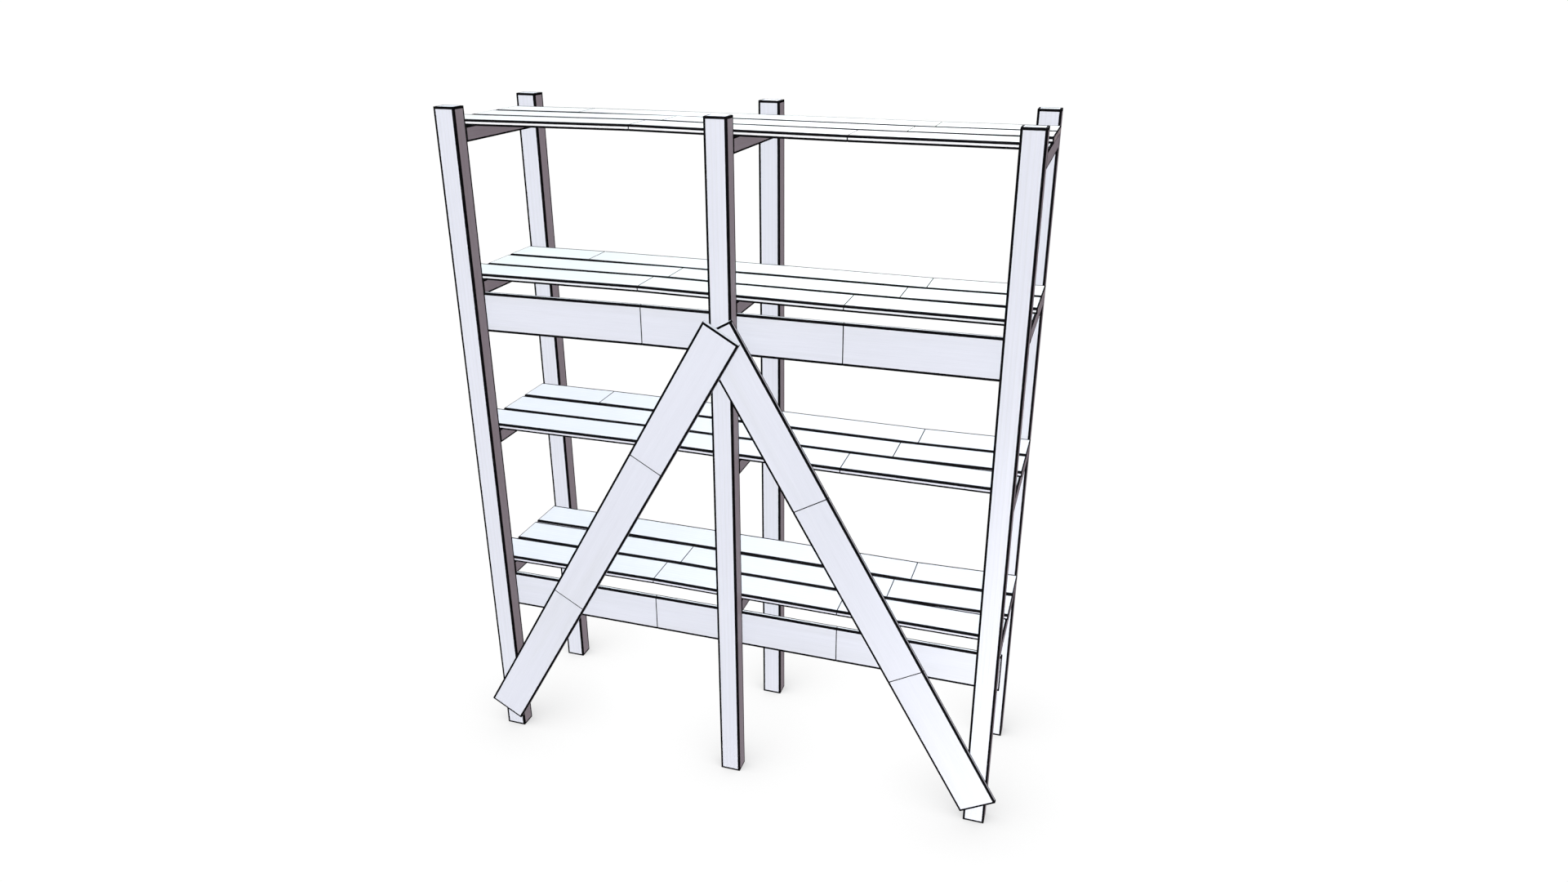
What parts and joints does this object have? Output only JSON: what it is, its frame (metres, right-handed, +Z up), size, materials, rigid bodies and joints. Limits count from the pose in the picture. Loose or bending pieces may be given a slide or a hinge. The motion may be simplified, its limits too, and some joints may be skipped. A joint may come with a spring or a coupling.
{
  "type": "scaffold rack",
  "caption": "Free-standing timber scaffold rack: square posts, slatted decks on cross bearers, front rails and a pair of crossing diagonal braces.",
  "frame": {"origin": "on the floor, below the middle of the bounding box", "axes": "+X along the rack to its right end seen from the braced front, +Y from the front to the back, +Z up"},
  "size_m": [1.6744, 0.501, 2.002],
  "materials": {
    "post_timber": "sawn timber with a thin pale wash, dark arrises",
    "bearer_timber": "sawn timber with a thin pale wash, dark arrises",
    "plank_timber": "planed board with a thin pale wash, dark arrises",
    "rail_timber": "planed board with a thin pale wash, dark arrises",
    "brace_timber": "planed board with a thin pale wash, dark arrises",
    "beech_dowel": "bare turned beech",
    "zinc_screw": "zinc plated"
  },
  "bodies": {
    "root": {"front_left_post": "post_timber", "front_middle_post": "post_timber", "front_right_post": "post_timber", "back_left_post": "post_timber", "back_middle_post": "post_timber", "back_right_post": "post_timber", "deck1_left_bearer": "bearer_timber", "deck1_middle_bearer": "bearer_timber", "deck1_right_bearer": "bearer_timber", "deck2_left_bearer": "bearer_timber", "deck2_middle_bearer": "bearer_timber", "deck2_right_bearer": "bearer_timber", "deck3_left_bearer": "bearer_timber", "deck3_middle_bearer": "bearer_timber", "deck3_right_bearer": "bearer_timber", "deck4_left_bearer": "bearer_timber", "deck4_middle_bearer": "bearer_timber", "deck4_right_bearer": "bearer_timber", "deck1_front_plank": "plank_timber", "deck1_middle_plank": "plank_timber", "deck1_back_plank": "plank_timber", "deck2_front_plank": "plank_timber", "deck2_middle_plank": "plank_timber", "deck2_back_plank": "plank_timber", "deck3_front_plank": "plank_timber", "deck3_middle_plank": "plank_timber", "deck3_back_plank": "plank_timber", "deck4_front_plank": "plank_timber", "deck4_middle_plank": "plank_timber", "deck4_back_plank": "plank_timber", "lower_front_rail": "rail_timber", "upper_front_rail": "rail_timber", "left_brace": "brace_timber", "right_brace": "brace_timber", "front_bearer_dowels": "beech_dowel", "back_bearer_dowels": "beech_dowel", "deck1_plank_screws": "zinc_screw", "deck2_plank_screws": "zinc_screw", "deck3_plank_screws": "zinc_screw", "deck4_plank_screws": "zinc_screw", "rail_screws": "zinc_screw", "brace_foot_screws": "zinc_screw", "brace_head_screws": "zinc_screw"}
  },
  "joints": []
}
